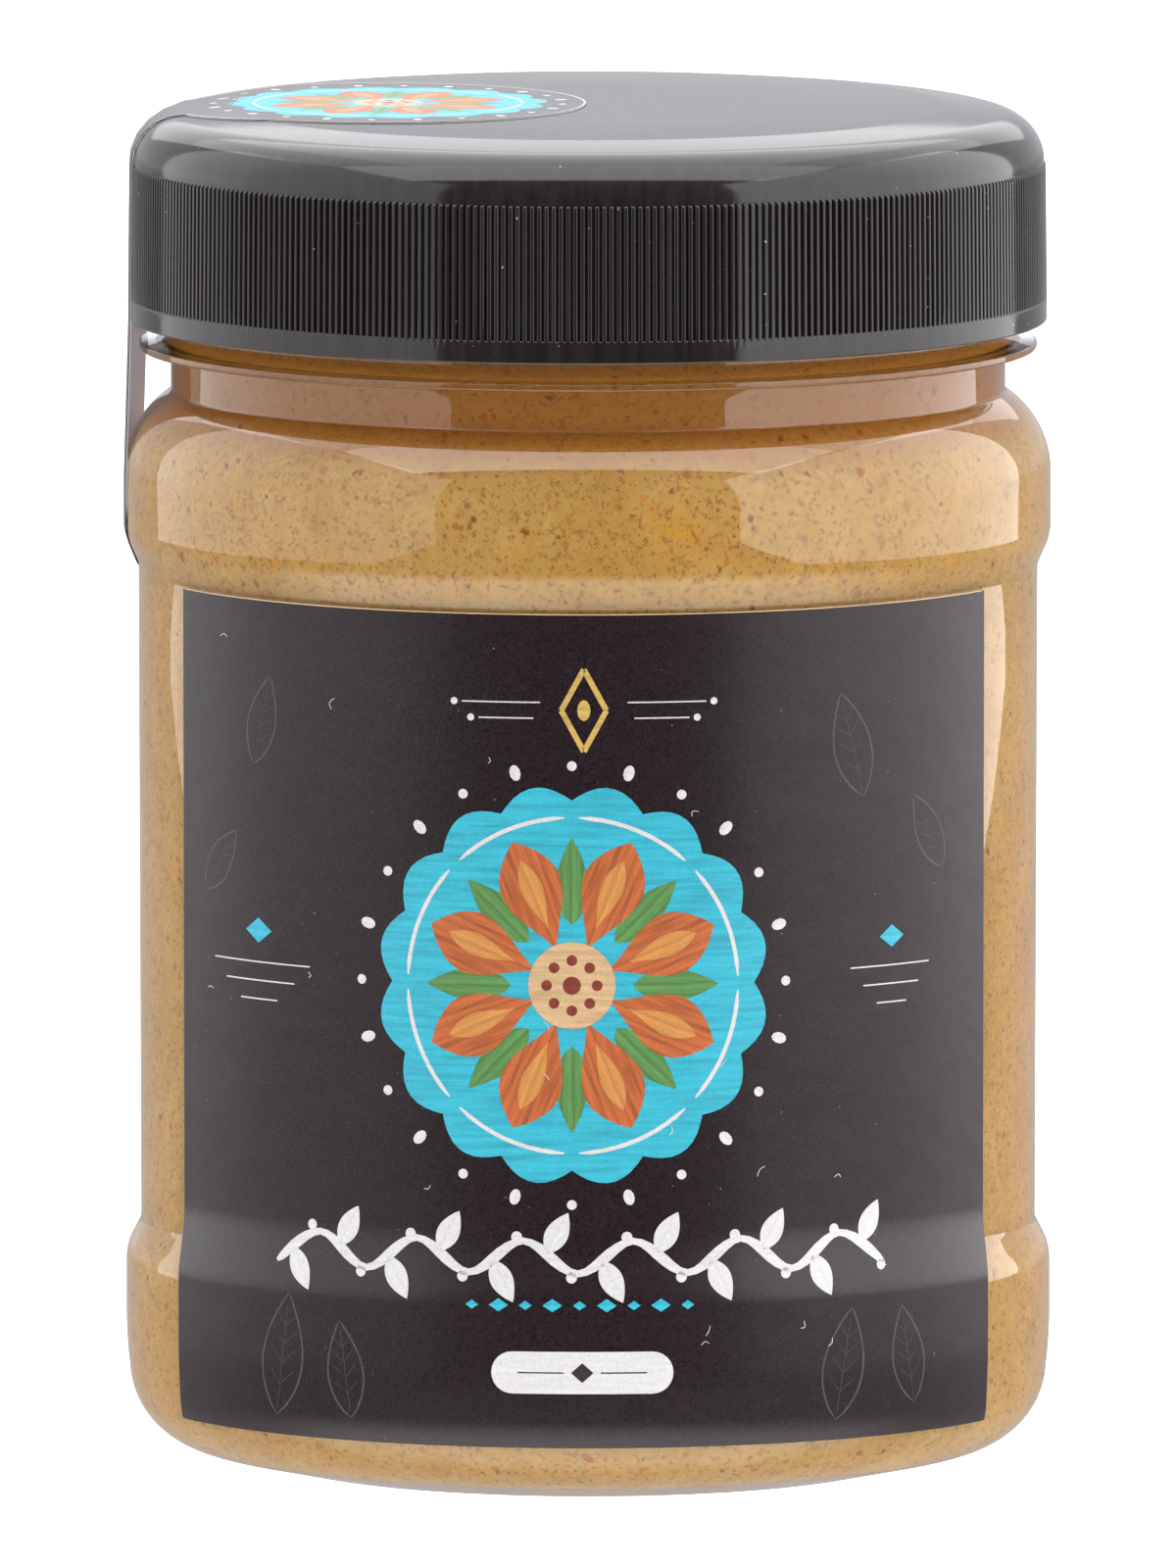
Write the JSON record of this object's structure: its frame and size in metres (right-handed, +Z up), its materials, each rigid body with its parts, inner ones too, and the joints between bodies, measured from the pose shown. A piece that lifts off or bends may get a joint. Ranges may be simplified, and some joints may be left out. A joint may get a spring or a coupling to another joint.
{
  "type": "jar of almond butter",
  "caption": "Clear round screw-neck jar filled with almond butter, with a knurled flat-topped lid, a wrap-round front label and a seal label from lid to shoulder.",
  "frame": {"origin": "on the jar's axis, in the plane of its standing ring", "axes": "+Z up along the jar's axis; the front label faces -Y and the seal label runs down the -X side"},
  "size_m": [0.0703, 0.0701, 0.1032],
  "materials": {
    "clear_plastic": "clear, glossy moulded PET plastic",
    "almond_butter": "ground nut paste, tan with darker specks, wet against the wall",
    "lid_plastic": "gloss black polypropylene, finely ribbed side",
    "label_film": null,
    "seal_film": "thin pale film"
  },
  "bodies": {
    "root": {"jar": "clear_plastic", "almond_butter": "almond_butter", "lid": "lid_plastic", "front_label": "label_film", "seal_label": "seal_film"}
  },
  "joints": []
}
